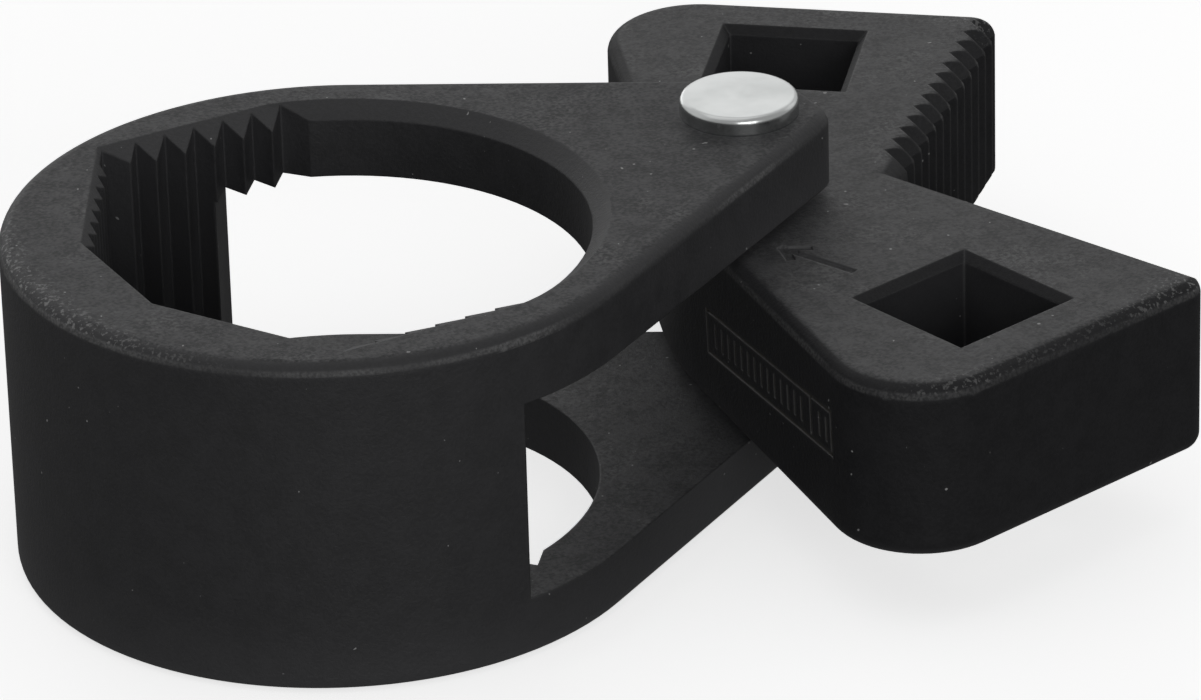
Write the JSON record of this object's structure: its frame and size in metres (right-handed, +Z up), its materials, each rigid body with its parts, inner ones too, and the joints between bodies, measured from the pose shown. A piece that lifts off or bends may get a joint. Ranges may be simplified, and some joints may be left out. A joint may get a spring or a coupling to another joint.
{
  "type": "ring and jaw wrench",
  "caption": "Forged ring wrench with a toothed seat and a swinging V jaw pinned between its cheeks, driven by a square drive in either jaw arm.",
  "frame": {"origin": "centre of the ring's bore on the bottom face of the ring body", "axes": "+X from the bore centre to the pivot pin, +Z up along the bore and pin axes, +Y across the ring"},
  "size_m": [0.114, 0.0867, 0.0345],
  "materials": {
    "black_steel": "matte black phosphate over blasted forged steel",
    "zinc_steel": "satin zinc plate"
  },
  "bodies": {
    "body": {"ring_body": "black_steel", "pivot_pin": "zinc_steel"},
    "jaw": {"swing_jaw": "black_steel"}
  },
  "joints": [
    {"name": "jaw_swing", "type": "hinge", "parent": "body", "child": "jaw", "pos_m": [0.0432, 0, 0.0157], "axis": [0, 0, 1], "continuous": true}
  ]
}
